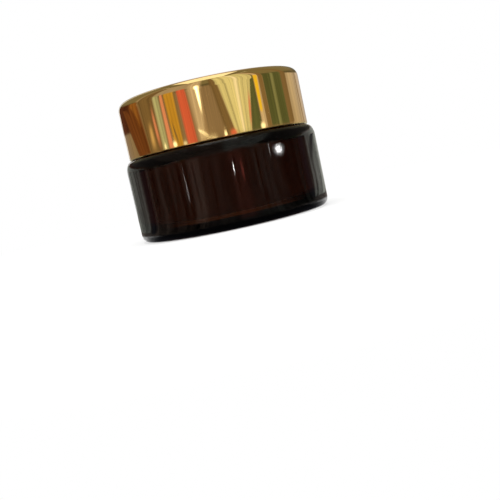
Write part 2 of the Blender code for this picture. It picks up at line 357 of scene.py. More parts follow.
def as_piece(name, mesh_data):
    """Turn finished mesh data into a linked, smooth-shaded object."""
    bmesh.ops.recalc_face_normals(mesh_data, faces=mesh_data.faces)
    mesh = bpy.data.meshes.new(name)
    mesh_data.to_mesh(mesh)
    mesh_data.free()
    smooth(mesh)
    piece = bpy.data.objects.new(name, mesh)
    bpy.context.scene.collection.objects.link(piece)
    return piece


def turned_piece(name, profile, relief=None):
    """Turn (radius, height) points, from axis to axis, into a closed mesh.

    relief moves a point of the profile at a given angle, for threads, notches and swirls.
    """
    mesh_data = bmesh.new()
    rings = []
    for radius, height in profile:
        if radius == 0.0:
            rings.append([mesh_data.verts.new((0.0, 0.0, height))])
            continue
        ring = []
        for step in range(TURN_SEGMENTS):
            turn = math.tau * step / TURN_SEGMENTS
            r, z = relief(radius, height, turn) if relief else (radius, height)
            ring.append(mesh_data.verts.new((r * math.cos(turn), r * math.sin(turn), z)))
        rings.append(ring)
    for upper, lower in zip(rings, rings[1:]):
        for step in range(TURN_SEGMENTS):
            after = step + 1
            corners = [upper[step % len(upper)], lower[step % len(lower)]]
            corners += [lower[after % len(lower)], upper[after % len(upper)]]
            mesh_data.faces.new(dict.fromkeys(corners))
    return as_piece(name, mesh_data)


def slab(name, outline, low, high, rounding):
    """A flat plate with rounded edges, from the outline of its plan."""
    mesh_data = bmesh.new()
    face = mesh_data.faces.new([mesh_data.verts.new((x, y, low)) for x, y in outline])
    grown = bmesh.ops.extrude_face_region(mesh_data, geom=[face])
    lifted = [item for item in grown["geom"] if isinstance(item, bmesh.types.BMVert)]
    bmesh.ops.translate(mesh_data, verts=lifted, vec=(0.0, 0.0, high - low))
    bmesh.ops.recalc_face_normals(mesh_data, faces=mesh_data.faces)
    edges = [edge for edge in mesh_data.edges if edge.calc_face_angle() > SHARP_ANGLE]
    bmesh.ops.bevel(
        mesh_data, geom=edges, offset=rounding, affect="EDGES",
        segments=BEVEL_STEPS, profile=ROUND_PROFILE,
    )
    return as_piece(name, mesh_data)


def fuse(piece, tools):
    """Join the tools to the piece as one closed skin, and remove them."""
    for tool in tools:
        union = piece.modifiers.new("fuse " + tool.name, "BOOLEAN")
        union.operation = "UNION"
        union.solver = "EXACT"
        union.object = tool
    evaluated = piece.evaluated_get(bpy.context.evaluated_depsgraph_get())
    mesh = bpy.data.meshes.new_from_object(evaluated)
    piece.modifiers.clear()
    piece.data = mesh
    smooth(mesh)
    for tool in tools:
        bpy.data.objects.remove(tool, do_unlink=True)


def dress(piece, body, node, material):
    """Give a piece its finish and its body, and let it stand for its CAD node."""
    piece.data.materials.clear()
    piece.data.materials.append(material)
    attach(piece, body)
    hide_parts(node)


class Value:
    """One output socket, so that sums of shader values read as Python."""

    def __init__(self, finish, socket):
        self.finish = finish
        self.socket = socket

    def _sum(self, operation, *terms):
        return self.finish.add("ShaderNodeMath", {"operation": operation}, dict(enumerate(terms)))

    def __add__(self, other):
        return self._sum("ADD", self, other)

    def __radd__(self, other):
        return self._sum("ADD", other, self)

    def __sub__(self, other):
        return self._sum("SUBTRACT", self, other)

    def __rsub__(self, other):
        return self._sum("SUBTRACT", other, self)

    def __mul__(self, other):
        return self._sum("MULTIPLY", self, other)

    def __rmul__(self, other):
        return self._sum("MULTIPLY", other, self)

    def __truediv__(self, other):
        return self._sum("DIVIDE", self, other)

    def __and__(self, other):
        return self._sum("MINIMUM", self, other)

    def __or__(self, other):
        return self._sum("MAXIMUM", self, other)

    def clamped(self):
        """The value held between 0 and 1."""
        return self.finish.add("ShaderNodeClamp", {}, {"Value": self})

    def eased(self):
        """The value held between 0 and 1, with a soft start and end."""
        soft = {"interpolation_type": "SMOOTHSTEP"}
        return self.finish.add("ShaderNodeMapRange", soft, {"Value": self})


class Finish:
    """Adds nodes to the node tree of one material or world."""

    def __init__(self, owner):
        owner.use_nodes = True
        self.owner = owner
        self.tree = owner.node_tree
        self.tree.nodes.clear()

    def add(self, kind, settings=None, sockets=None, output=0):
        """Make a node: its settings first, then the values or links of its sockets."""
        node = self.tree.nodes.new(kind)
        for name, setting in (settings or {}).items():
            if name == "stops":
                self._set_stops(node.color_ramp, setting)
            else:
                setattr(node, name, setting)
        for name, given in (sockets or {}).items():
            if isinstance(given, Value):
                self.tree.links.new(given.socket, node.inputs[name])
            else:
                node.inputs[name].default_value = given
        return Value(self, node.outputs[output]) if node.outputs else None

    @staticmethod
    def _set_stops(ramp, stops):
        """Put a ramp's stops, given as (position, grey level), in place of its own."""
        while len(ramp.elements) < len(stops):
            ramp.elements.new(1.0)
        for element, (position, level) in zip(ramp.elements, stops):
            element.position = position
            element.color = (level, level, level, 1.0)

    def blend(self, factor, first, second):
        """A colour between two colours."""
        sockets = {0: factor, 6: opaque(first), 7: opaque(second)}
        return self.add("ShaderNodeMix", {"data_type": "RGBA"}, sockets, output=2)

    def tinted(self, tint, level):
        """A colour made lighter or darker by a value."""
        scaled = {0: tint[:], "Scale": level}
        return self.add("ShaderNodeVectorMath", {"operation": "SCALE"}, scaled)

    def place(self, scale=(1.0, 1.0, 1.0)):
        """The piece's own coordinates, stretched along its axes."""
        own = self.add("ShaderNodeTexCoord", output="Object")
        return self.add("ShaderNodeMapping", {}, {"Vector": own, "Scale": scale})

    def noise(self, scale, detail=2.0, stretch=(1.0, 1.0, 1.0), place=None):
        """Soft noise from 0 to 1, with scale in waves per metre or per unit of a given place."""
        sockets = {"Vector": place or self.place(stretch), "Scale": scale, "Detail": detail}
        return self.add("ShaderNodeTexNoise", {}, sockets)

    def axes(self, vector, names):
        """Some of a vector's parts, named by their axes."""
        whole = {"Vector": vector}
        return [self.add("ShaderNodeSeparateXYZ", {}, whole, output=name) for name in names]

    def ramp(self, factor, *stops):
        """A value shaped by (position, level) stops."""
        return self.add("ShaderNodeValToRGB", {"stops": stops}, {"Fac": factor})

    def bump(self, height, distance):
        """A normal from a height between 0 and 1, which stands for the given distance."""
        return self.add("ShaderNodeBump", {}, {"Height": height, "Distance": distance})

    def principled(self, sockets, volume=None):
        """End the tree of a material with the main shader."""
        return self.surface(self.add("ShaderNodeBsdfPrincipled", {}, sockets), volume)

    def seen(self):
        """1 for rays from the camera, and for what metal mirrors and glass lets through."""
        sights = ("Is Camera Ray", "Is Glossy Ray", "Is Transmission Ray")
        rays = [self.add("ShaderNodeLightPath", output=sight) for sight in sights]
        return rays[0] | rays[1] | rays[2]

    def surface(self, shader, volume=None):
        """End the tree of a material."""
        sockets = {"Surface": shader}
        if volume:
            sockets["Volume"] = volume
        self.add("ShaderNodeOutputMaterial", {}, sockets)
        return self.owner


def opaque(tint):
    """A colour as a socket takes it, with links left as they are."""
    return tint if isinstance(tint, Value) else (*tint, 1.0)


def new_finish(name):
    """Start the material of one finish."""
    return Finish(bpy.data.materials.new(name))


def gold_metal(colours):
    """Bright gold with a faint unevenness, light wipe marks and a few fingerprints' worth of haze."""
    finish = new_finish("gold_metal")
    haze = finish.ramp(finish.noise(70.0, 5.0), (0.45, 0.0), (0.75, 1.0))
    wiped = finish.noise(2600.0, 3.0, (1.0, 1.0, 0.05))
    waves = finish.noise(120.0, 1.0, (1.0, 1.0, 0.35))
    base = finish.blend(haze * 0.6, colours.gold, colours.gold_deep)
    sockets = {
        "Base Color": base,
        "Metallic": 1.0,
        "Roughness": 0.035 + 0.030 * haze + 0.012 * wiped,
        "Normal": finish.bump(waves, 0.00003),
    }
    return finish.principled(sockets)


def amber_glass(colours):
    """Dark amber glass: clear and glossy, faintly uneven, with the colour in its depth."""
    finish = new_finish("amber_glass")
    smear = finish.ramp(finish.noise(90.0, 4.0), (0.50, 0.0), (0.80, 1.0))
    waves = finish.noise(170.0, 2.0, (1.0, 1.0, 0.18))
    base = finish.blend(smear, (1.0, 1.0, 1.0), (0.90, 0.88, 0.86))
    sockets = {
        "Base Color": base,
        "Roughness": 0.012 + 0.02 * smear,
        "IOR": 1.52,
        "Transmission Weight": 1.0,
        "Specular Tint": (0.5, 0.5, 0.5, 1.0),
        "Normal": finish.bump(waves, 0.00001),
    }
    depth = {"Color": opaque(colours.amber), "Density": colours.amber_depth}
    return finish.principled(sockets, finish.add("ShaderNodeVolumeAbsorption", {}, depth))


def cream_finish(colours):
    """Soft, faintly glossy cream with fine spatula lines, and painted shade that darkens it where its
    lumps sink.
    """
    finish = new_finish("cream")
    lumps = finish.noise(260.0, 4.0)
    lines = finish.noise(900.0, 3.0)
    sockets = {
        # The cream is painted darker where its lumps sink, as painted shade in its hollows.
        "Base Color": finish.blend(lumps, colours.cream_shade, colours.cream),
        "Roughness": 0.32 + 0.22 * lumps,
        "Subsurface Weight": 0.25,
        "Subsurface Radius": (0.004, 0.003, 0.002),
        "Subsurface Scale": 0.5,
        "Normal": finish.bump(lumps + 0.4 * lines, 0.00012),
    }
    return finish.principled(sockets)


def moulded_plastic(name, tint, roughness, grain, clear=0.0):
    """Moulded plastic with a fine eroded grain and faint flow marks."""
    finish = new_finish(name)
    flow = finish.noise(110.0, 4.0)
    pits = finish.noise(grain, 3.0)
    shaded = tuple(0.93 * part for part in tint)
    sockets = {
        "Base Color": finish.blend(flow, shaded, tint),
        "Roughness": roughness + 0.10 * (pits - 0.5) + 0.06 * flow,
        "Transmission Weight": clear,
        "IOR": 1.49,
        "Subsurface Weight": 0.15,
        "Subsurface Radius": (0.003, 0.003, 0.003),
        "Subsurface Scale": 0.3,
        "Normal": finish.bump(pits, 0.00002),
    }
    return finish.principled(sockets)


def liner_foam(colours):
    """Closed-cell foam: a skin of fine bubbles, with painted shade in the creases between them and a
    little random tone.
    """
    finish = new_finish("liner_foam")
    cells = finish.add("ShaderNodeTexVoronoi", {}, {"Vector": finish.place(), "Scale": 1500.0})
    soft = finish.noise(140.0, 3.0)
    shaded = tuple(0.90 * part for part in colours.foam)
    sockets = {
        # Painted shade: the foam is darker where the cells' bump sinks between bubbles, with a little
        # random tone from the soft noise.
        "Base Color": finish.blend((1.2 * cells + 0.3 * soft).clamped(), colours.foam, shaded),
        "Roughness": 0.62 + 0.2 * cells,
        "Normal": finish.bump(1.0 - cells, 0.00008),
    }
    return finish.principled(sockets)


class ThreadPlan:
    """Where the two beads of the screw thread run, worked out as in the CAD."""

    def __init__(self, jar):
        glass, thread, lid = jar.glass, jar.thread, jar.lid
        gap = thread.glass_bead + thread.clearance
        self.thread = thread
        self.cap_bore = lid.cap_radius - lid.cap_wall
        self.cap_bead = math.hypot(gap, thread.lead / 2) - gap
        self.cap_start = lid.cap_low + lid.skirt_chamfer + self.cap_bead
        self.glass_start = self.cap_start + thread.lead / 2
        bead_top = glass.rim_height - thread.top_margin - thread.glass_bead
        self.turns = (bead_top - self.glass_start) / thread.lead

    def bead(self, height, turn, start, bead_height):
        """How far a bead stands off its wall at a height and an angle."""
        thread = self.thread
        spread = thread.spread * bead_height
        stands = 0.0
        for passes in range(math.ceil(self.turns)):
            turns = turn / math.tau + passes
            if turns > self.turns:
                break
            away = abs(height - start - thread.lead * turns)
            if away < spread:
                fade = smooth_step(min(turns, self.turns - turns) / thread.fade_turns)
                swell = math.cos(0.5 * math.pi * away / spread) ** 2
                stands = max(stands, fade * bead_height * swell)
        return stands


def cavity_profile(glass, room=0.0):
    """The hollow's wall from its floor to the mouth, kept the given room inside the glass."""
    side = glass.body_radius - glass.side_wall - room
    mouth = glass.neck_radius - glass.neck_wall - room
    fillet = glass.cavity_fillet - room
    floor = glass.base_thickness + room
    narrowing = glass.body_height - glass.inner_shoulder - room
    profile = arc(side - fillet, floor + fillet, fillet, -90, 0)
    return profile + ease((side, narrowing), (mouth, glass.body_height - room))


class CREAMJAR_OT_glass_jar(bpy.types.Operator):
    """Build the thick glass jar with its threaded neck and stippled base ring"""

    bl_idname = "cream_jar.glass_jar"
    bl_label = "Glass jar"

    def execute(self, context):
        jar = context.scene.cream_jar
        glass, plan = jar.glass, ThreadPlan(jar)
        rim, fillet = glass.rim_height, glass.rim_fillet
        mouth = glass.neck_radius - glass.neck_wall
        bearing_outer = glass.body_radius - glass.base_fillet
        bearing_inner = bearing_outer - glass.bearing_width
        root_x, root_z = glass.neck_radius + glass.neck_root, glass.body_height + glass.neck_root
        shoulder_x = glass.body_radius - glass.shoulder_width
        shoulder_z = glass.body_height - glass.shoulder_drop
        inside = [(0.0, glass.base_thickness)] + cavity_profile(glass)
        inside += arc(mouth + fillet, rim - fillet, fillet, 180, 90)
        rim_edge = arc(glass.neck_radius - fillet, rim - fillet, fillet, 90, 0)
        neck = stretched([rim_edge[-1], (glass.neck_radius, root_z)], THREAD_STRETCH)
        outside = arc(root_x, root_z, glass.neck_root, 180, 270)
        outside += arc(shoulder_x, shoulder_z, glass.shoulder_width, 90, 0, glass.shoulder_drop)
        outside += arc(bearing_outer, glass.base_fillet, glass.base_fillet, 0, -90)
        punt_edge = (bearing_inner - glass.punt_slope, glass.punt_depth)
        outside += ease((bearing_inner, 0.0), punt_edge, PUNT_STEPS)
        outside += [(0.0, glass.punt_depth)]
        profile = stretched(inside + rim_edge) + neck[1:-1] + stretched(outside)
        glass_bead = jar.thread.glass_bead

        def relief(radius, height, turn):
            if abs(radius - glass.neck_radius) < SAME_RADIUS and height > root_z:
                return radius + plan.bead(height, turn, plan.glass_start, glass_bead), height
            if height < SAME_RADIUS and bearing_inner < radius < bearing_outer:
                notch = 0.5 - 0.5 * math.cos(glass.stipple_count * turn)
                return radius, glass.stipple_depth * notch
            return radius, height

        piece = turned_piece("amber_jar", profile, relief)
        dress(piece, "jar", "glass_jar", amber_glass(jar.colours))
        return {"FINISHED"}


class CREAMJAR_OT_cream(bpy.types.Operator):
    """Build the cream with the swirl that a spatula leaves on it"""

    bl_idname = "cream_jar.cream"
    bl_label = "Cream"

    def execute(self, context):
        jar = context.scene.cream_jar
        cream = jar.cream
        wall = cavity_profile(jar.glass, cream.fit)
        throat = wall[-1][0]
        level = cream.top - cream.ridge
        top = stretched([(0.0, level), (throat, level)])
        profile = top + stretched(wall[::-1] + [(0.0, cream.low)])

        def relief(radius, height, turn):
            if height < level:
                return radius, height
            share = radius / throat
            swirl = 0.5 + 0.5 * math.cos(math.tau * radius / cream.pitch - turn)
            fade = smooth_step(EYE_SLOPE * share) * smooth_step(EDGE_SLOPE * (1.0 - share))
            peak = smooth_step(1.0 - EYE_SLOPE * share)
            return radius, height - cream.dish * share ** 2 + cream.ridge * max(swirl * fade, peak)

        piece = turned_piece("cream_swirl", profile, relief)
        dress(piece, "jar", "cream_fill", cream_finish(jar.colours))
        return {"FINISHED"}


class CREAMJAR_OT_sealing_disc(bpy.types.Operator):
    """Build the dished sealing disc with its pull tab and grip bars"""

    bl_idname = "cream_jar.sealing_disc"
    bl_label = "Sealing disc"

    def execute(self, context):
        jar = context.scene.cream_jar
        disc, rounding = jar.disc, jar.disc.rounding
        plug = jar.glass.neck_radius - jar.glass.neck_wall - jar.cream.fit
        dish = plug - disc.wall
        flange_low = disc.flange_high - disc.flange
        dish_floor = disc.plug_low + disc.floor
        rib, rib_half = disc.rib_radius, disc.rib_height
        profile = [(0.0, dish_floor)]
        profile += arc(rib, dish_floor, rib_half, 180, 0)
        profile += arc(dish - rounding, dish_floor + rounding, rounding, -90, 0)
        profile += arc(dish + rounding, disc.flange_high - rounding, rounding, 180, 90)
        profile += arc(disc.flange_radius - rounding, disc.flange_high - rounding, rounding, 90, 0)
        profile += arc(disc.flange_radius - rounding, flange_low + rounding, rounding, 0, -90)
        profile += [(plug, flange_low)]
        profile += arc(plug - rounding, disc.plug_low + rounding, rounding, 0, -90)
        profile += [(0.0, disc.plug_low)]
        piece = turned_piece("pull_disc", profile)
        fuse(piece, self.tab_pieces(disc, dish_floor))
        plastic = moulded_plastic("disc_plastic", jar.colours.disc, 0.30, 2400.0, clear=0.35)
        dress(piece, "disc", "sealing_disc", plastic)
        return {"FINISHED"}

    @staticmethod
    def tab_pieces(disc, dish_floor):
        """The tab's plate, the block it stands on and the bars that a finger grips."""
        half_length, half_width = disc.tab_length / 2, disc.tab_width / 2
        low = dish_floor + disc.tab_lift
        high = low + disc.tab_thickness
        plate = [(-half_length, half_width), (-half_length, -half_width)]
        plate += arc(half_length - half_width, 0.0, half_width, -90, 90)
        pieces = [slab("tab_plate", plate, low, high, disc.rounding)]
        sunk = dish_floor - disc.floor / 2
        root_far = disc.root_length - half_length
        root = box_outline(-half_length, root_far, disc.root_width)
        pieces.append(slab("tab_root", root, sunk, (low + high) / 2, disc.rounding))
        for bar in range(disc.grip_count):
            middle = half_length - half_width / 2 - bar * disc.grip_pitch
            half = disc.grip_width / 2
            outline = box_outline(middle - half, middle + half, disc.grip_length)
            top = high + disc.grip_height
            pieces.append(slab(f"grip_bar_{bar}", outline, (low + high) / 2, top, half / 2))
        return pieces


def box_outline(low_x, high_x, width):
    """A rectangle's corners in plan, centred on the X axis."""
    half = width / 2
    return [(low_x, half), (low_x, -half), (high_x, -half), (high_x, half)]


class CREAMJAR_OT_lid_liner(bpy.types.Operator):
    """Build the foam liner with the ring that the disc has pressed in it"""

    bl_idname = "cream_jar.lid_liner"
    bl_label = "Lid liner"

    def execute(self, context):
        jar = context.scene.cream_jar
        lid, edge = jar.lid, jar.lid.liner_edge
        ring_inner = jar.glass.neck_radius - jar.glass.neck_wall
        ring_outer = jar.disc.flange_radius
        pressed = lid.liner_low + lid.liner_press
        profile = [(0.0, lid.liner_high)]
        profile += arc(lid.liner_radius - edge, lid.liner_high - edge, edge, 90, 0)
        profile += arc(lid.liner_radius - edge, lid.liner_low + edge, edge, 0, -90)
        profile += [(ring_outer + edge, lid.liner_low), (ring_outer, pressed)]
        profile += [(ring_inner, pressed), (ring_inner - edge, lid.liner_low), (0.0, lid.liner_low)]
        piece = turned_piece("foam_liner", stretched(profile))
        dress(piece, "liner", "lid_liner", liner_foam(jar.colours))
        return {"FINISHED"}


class CREAMJAR_OT_lid_inner_cap(bpy.types.Operator):
    """Build the moulded cap inside the shell, with its thread and liner bead"""

    bl_idname = "cream_jar.lid_inner_cap"
    bl_label = "Lid inner cap"

    def execute(self, context):
        jar = context.scene.cream_jar
        lid, plan, fit = jar.lid, ThreadPlan(jar), jar.cream.fit
        bore, ceiling = plan.cap_bore, lid.cap_high - lid.cap_roof
        corner = lid.edge_radius - lid.shell_wall - fit
        bead_z = lid.liner_low - fit - lid.liner_bead
        lip = lid.skirt_chamfer / 2
        outside = [(0.0, lid.cap_high)]
        outside += arc(lid.cap_radius - corner, lid.cap_high - corner, corner, 90, 0)
        outside += arc(lid.cap_radius - lip, lid.cap_low + lip, lip, 0, -90)
        outside += [(bore + lid.skirt_chamfer, lid.cap_low), (bore, lid.cap_low + lid.skirt_chamfer)]
        liner_bead = arc(bore, bead_z, lid.liner_bead, 270, 90)
        wall = stretched([outside[-1], liner_bead[0]], THREAD_STRETCH)
        inside = liner_bead + [(bore, ceiling), (0.0, ceiling)]
        profile = stretched(outside) + wall[1:-1] + stretched(inside)

        def relief(radius, height, turn):
            if abs(radius - bore) < SAME_RADIUS and height < bead_z:
                return radius - plan.bead(height, turn, plan.cap_start, plan.cap_bead), height
            return radius, height

        piece = turned_piece("screw_cap", profile, relief)
        plastic = moulded_plastic("cap_plastic", jar.colours.cap, 0.38, 1800.0)
        dress(piece, "lid", "lid_inner_cap", plastic)
        return {"FINISHED"}


class CREAMJAR_OT_lid_shell(bpy.types.Operator):
    """Build the gold shell with its rounded top edge and its bevelled lower edge"""

    bl_idname = "cream_jar.lid_shell"
    bl_label = "Lid shell"

    def execute(self, context):
        jar = context.scene.cream_jar
        lid = jar.lid
        radius, wall, low = lid.shell_radius, lid.shell_wall, lid.shell_low
        edge, lip, bore = lid.edge_radius, lid.lip_radius, radius - wall
        inner, bevel_x, bevel_z = edge - wall, radius - lid.bevel_depth, low + lid.bevel_height
        outside = [(0.0, lid.shell_high)]
        outside += arc(radius - edge, lid.shell_high - edge, edge, 90, 0)
        outside += [(radius, bevel_z + EDGE_HOLD), (radius, bevel_z)]
        outside += [(bevel_x, low + EDGE_HOLD), (bevel_x - EDGE_HOLD, low)]
        inside = arc(bore + lip, low + lip, lip, -90, -180)
        inside += arc(bore - inner, lid.shell_high - edge, inner, 0, 90)
        inside += [(0.0, lid.shell_high - wall)]
        piece = turned_piece("gold_shell", stretched(outside + inside))
        dress(piece, "lid", "lid_shell", gold_metal(jar.colours))
        return {"FINISHED"}


# A card's edges are (left, right) in degrees round the jar from the camera, positive to the right.
# They run from the foot at its low end to the head at the knee, and upright above.
# Strong colours end at the plain height, so that the lid's flat top mirrors calm, gold tones.
CARD_CONTRAST = 1.3
CALM = 0.45
Card = namedtuple(
    "Card", "colour foot head low high soft strength rise fall contrast",
    defaults=(0.12, 1.0, 0.0, 0.15, CARD_CONTRAST),
)
FOOT, KNEE, PLAIN, TOP, ROOF = 0.047, 0.102, 0.20, 0.97, 1.0
CARDS = (
    Card("taupe", (-118, 118), (-118, 118), FOOT, TOP, 0.01),
    Card("tweed", (-176, -110), (-176, -110), FOOT, TOP, 0.02),
    Card("cloth", (108, 186), (108, 186), FOOT, TOP, 0.02),
    Card("bronze", (-176, 176), (-176, 176), 0.105, ROOF, 0.03, 0.6, 0.03, contrast=CALM),
    Card("bronze", (-176, 176), (-176, 176), 0.15, ROOF, 0.03, 1.1, 0.12, contrast=CALM),
    Card("beige", (-106, -16), (-106, -16), 0.12, TOP, 0.12, 0.65, 0.05, contrast=CALM),
    Card("beige", (160, 200), (160, 200), 0.12, ROOF, 0.3, 0.9, 0.23),
    Card("lamp", (198, 206), (198, 206), FOOT, 0.60, 0.5, 1.6),
    Card("bark", (139, 143), (136, 139), FOOT, TOP, 0.3),
    Card("sienna", (-116, -88), (-143, -95), FOOT, PLAIN, 0.10, fall=0.3),
    Card("rust", (-118, -94), (-118, -94), 0.074, PLAIN, 0.4, fall=0.3),
    Card("umber", (-162, -116), (-156, -112), 0.070, PLAIN, 0.15, rise=0.03, fall=0.3),
    Card("bark", (-92, -68), (-97, -68), FOOT, TOP, 0.15),
    Card("straw", (-87, -76), (-86, -78), FOOT, 0.078, 0.4, rise=0.4, fall=0.4),
    Card("rose", (-76, -69), (-76, -72), FOOT, 0.092, 0.4, rise=0.4, fall=0.4),
    Card("sage", (-70, -60), (-71, -60), FOOT, PLAIN, 0.25, fall=0.4),
    Card("rose", (-61, -53), (-60, -55), FOOT, PLAIN, 0.3, fall=0.4),
    Card("amber", (-53, -40), (-55, -40), FOOT, PLAIN, 0.15, fall=0.4),
    Card("bark", (-48, -44), (-51, -50), FOOT, 0.075, 0.4, rise=0.4, fall=0.4),
    Card("bark", (-41, -38), (-41, -38), FOOT, PLAIN, 0.3, fall=0.4),
    Card("red", (-37, -22), (-38, -25), FOOT, PLAIN, 0.22, fall=0.4),
    Card("beige", (-22, -12), (-27, -4), FOOT, TOP, 0.35),
    Card("bark", (9, 25), (2, 11), FOOT, TOP, 0.25),
    Card("ivory", (22, 42), (9, 56), FOOT, TOP, 0.05),
    Card("lamp", (30, 35), (30, 38), FOOT, TOP, 0.4, 1.1),
    Card("rose", (39, 44), (46, 50), FOOT, 0.084, 0.4, rise=0.4, fall=0.4),
    Card("olive", (41, 57), (55, 57), FOOT, PLAIN, 0.1, fall=0.4),
    Card("beige", (56, 64), (56, 64), FOOT, TOP, 0.2),
    Card("yellow", (57, 61), (56, 63), 0.062, PLAIN, 0.2, fall=0.4),
    Card("bark", (63, 70), (63, 70), FOOT, TOP, 0.2),
    Card("olive", (69, 101), (69, 101), FOOT, PLAIN, 0.06, fall=0.4),
    Card("moss", (80, 88), (80, 88), FOOT, PLAIN, 0.35, fall=0.4),
    Card("bark", (99, 112), (99, 112), FOOT, TOP, 0.2),
    Card("lamp", (-3, 5), (-12, -8.5), 0.0460, 0.0492, 0.45, 3.2, 0.3, 0.0),
    Card("lamp", (-12, -8.5), (-22.5, -20.5), 0.0492, 0.0568, 0.45, 3.2, 0.0, 0.3),
    Card("lamp", (-13, -11), (-17, -8), 0.066, 0.22, 0.4, 3.2, 0.2, 0.5),
    Card("night", (109, 122), (131, 157), 0.003, FOOT, 0.5, rise=0.6),
)
# Mats lie on the floor from near the jar to the screen, and go up the screen's foot.
# Their edges draw in towards the jar by a share, so that the glass mirrors them upright.
Mat = namedtuple("Mat", "colour edges share soft strength contrast", defaults=(1.0, 3.0))
NEAR_SHARE = 0.70
LEANING_SHARE = 0.60
MATS = (
    Mat("shade", (-180, 180), 1.0, 0.0, 1.8),
    Mat("taupe", (-112, -18), NEAR_SHARE, 0.15, 0.60, 5.0),
    Mat("slate", (20, 66), NEAR_SHARE, 0.25, 0.48, 5.0),
    Mat("slate", (58, 110), NEAR_SHARE, 0.25, 0.14, 5.0),
    Mat("rose", (0, 28), NEAR_SHARE, 0.4, 0.62),
    Mat("night", (-115, -97), NEAR_SHARE, 0.35),
    Mat("slate", (-172, -112), NEAR_SHARE, 0.06, 0.66),
    Mat("night", (97, 113), NEAR_SHARE, 0.35),
    Mat("slate", (114, 172), LEANING_SHARE, 0.08, 1.05),
    Mat("taupe", (-47, -21), NEAR_SHARE, 0.4, 2.2),
    Mat("lamp", (198, 206), 1.0, 0.5, 1.2),
)
# Small soft lamps: where they are, and half their width in degrees and half their height.
Spot = namedtuple("Spot", "colour turn level wide high strength")
SPOTS = (
    Spot("lamp", 66.8, 0.0263, 10.4, 0.0078, 8.0),
    Spot("lamp", 66.8, 0.0263, 7.4, 0.0056, 28.0),
    Spot("lamp", 66.8, 0.0263, 4.8, 0.0037, 60.0),
    Spot("lamp", 10.1, 0.0180, 1.0, 0.0070, 58.0),
    Spot("red", 19.0, 0.0160, 1.9, 0.0130, 4.4),
    Spot("lamp", 54.3, 0.0300, 1.1, 0.0120, 8.4),
    Spot("lamp", -46.1, 0.0120, 0.9, 0.0220, 9.5),
    Spot("lamp", 10.0, 0.0468, 2.6, 0.0032, 3.0),
    Spot("red", 19.8, 0.0468, 6.6, 0.0034, 1.4),
    Spot("lamp", 57.0, 0.0472, 4.6, 0.0042, 2.0),
    Spot("lamp", -51.5, 0.0468, 3.8, 0.0034, 2.4),
    Spot("lamp", -65.0, 0.0470, 2.2, 0.0036, 1.8),
    Spot("lamp", -38.5, 0.0462, 4.0, 0.0024, 1.3),
)
# Aprons hang in a shallow cone just above the glass shoulder, which then mirrors nothing brighter.
Apron = namedtuple("Apron", "colour edges strength")
APRONS = (
    Apron("shade", (-90, 90), 0.9),
    Apron("taupe", (-46, 8), 0.85),
    Apron("slate", (0, 32), 1.35),
    Apron("slate", (84, 178), 1.2),
    Apron("slate", (-178, -82), 0.85),
)
# Rings lie on the floor close round the jar, each in its own layer.
Ring = namedtuple("Ring", "colour half_turn layer strength weave rise fall")
CORE = Ring("night", 88, 1, 1.0, 160.0, 0.0, 0.5)
PALE_RING = Ring("beige", 75, 2, 0.4, 150.0, 0.2, 0.2)
# Lamps that light the jar, and that no reflection shows.
Softbox = namedtuple("Softbox", "name width depth power place")
SOFTBOXES = (
    Softbox("top_softbox", 0.36, 0.26, 3.2, (0.0, -0.06, 0.62)),
    Softbox("left_softbox", 0.30, 0.40, 3.0, (-0.62, -0.36, 0.48)),
    Softbox("right_softbox", 0.30, 0.40, 2.0, (0.66, -0.30, 0.42)),
)
LAMP_AIM = (0.0, 0.0, 0.02)
CLIP_START = 0.01
CARD_SPACING = 0.002
CARD_SWEEP_STEP = 2.0
SPOT_CONTRAST = 0.1
MAT_SPACING = 0.0003
MAT_RISE = 0.012
APRON_SPACING = 0.0001
APRON_CONTRAST = 0.8
APRON_SIDES = 0.12
APRON_FALL = 0.4
RING_CONTRAST = 0.5
RING_SIDES = 0.2
ROOF_CONTRAST = 0.3
ROOF_SIDES = 0.02
ROOF_WEAVE = 90.0
ROOF_CELLS = (4, 8)
FLOOR_DROP = 0.00005
FLOOR_CELLS = 8
FINE_STREAKS = 0.7
BROAD_STREAKS = 0.15
STREAK_DETAIL = 3.0
STREAK_RUN = 0.9


def lit_card(name, tint, strength, wide, contrast, mask):
    """A finish with its own colour and upright streaks, seen where its mask shows it."""
    finish = new_finish(name)
    across, upward = finish.axes(finish.add("ShaderNodeTexCoord", output="UV"), "XY")
    parts = {0: across * wide, 1: upward * STREAK_RUN, 2: strength + wide}
    weave = finish.add("ShaderNodeCombineXYZ", {}, parts)
    fine = finish.noise(FINE_STREAKS, STREAK_DETAIL, place=weave)
    broad = finish.noise(BROAD_STREAKS, STREAK_DETAIL, place=weave)
    level = strength * (1.0 + contrast * (fine + broad - 1.0)) | 0.0
    lit = finish.add("ShaderNodeEmission", {}, {"Color": finish.tinted(tint, level)})
    clear = finish.add("ShaderNodeBsdfTransparent")
    shown = mask(across, upward)
    material = finish.surface(finish.add("ShaderNodeMixShader", {}, {0: shown, 1: clear, 2: lit}))
    material.cycles.emission_sampling = "NONE"
    return material


def soft_edges(sides, rise=0.0, fall=0.0):
    """A mask with soft sides, lower end and upper end, each where a share is given for it."""
    def mask(across, upward):
        shown = 1.0
        for inward, share in ((across & 1.0 - across, sides), (upward, rise), (1.0 - upward, fall)):
            if share:
                shown = (inward / share).eased() * shown
        return shown
    return mask


def soft_round(across, upward):
    """A mask that is soft all round, and clearest in the middle."""
    sideways, along = 2.0 * across - 1.0, 2.0 * upward - 1.0
    core = (1.0 - sideways * sideways - along * along).eased()
    return core * core


def mirrored_only(stage_piece):
    """Keep a stage piece out of everything but reflections."""
    stage_piece.visible_camera = False
    stage_piece.visible_diffuse = False
    stage_piece.visible_transmission = False
    stage_piece.visible_shadow = False
    stage_piece.visible_volume_scatter = False


def round_jar(reach, degrees, height):
    """A place round the jar: degrees from the camera's side, positive to the right."""
    turn = math.radians(degrees)
    return (reach * math.sin(turn), -reach * math.cos(turn), height)


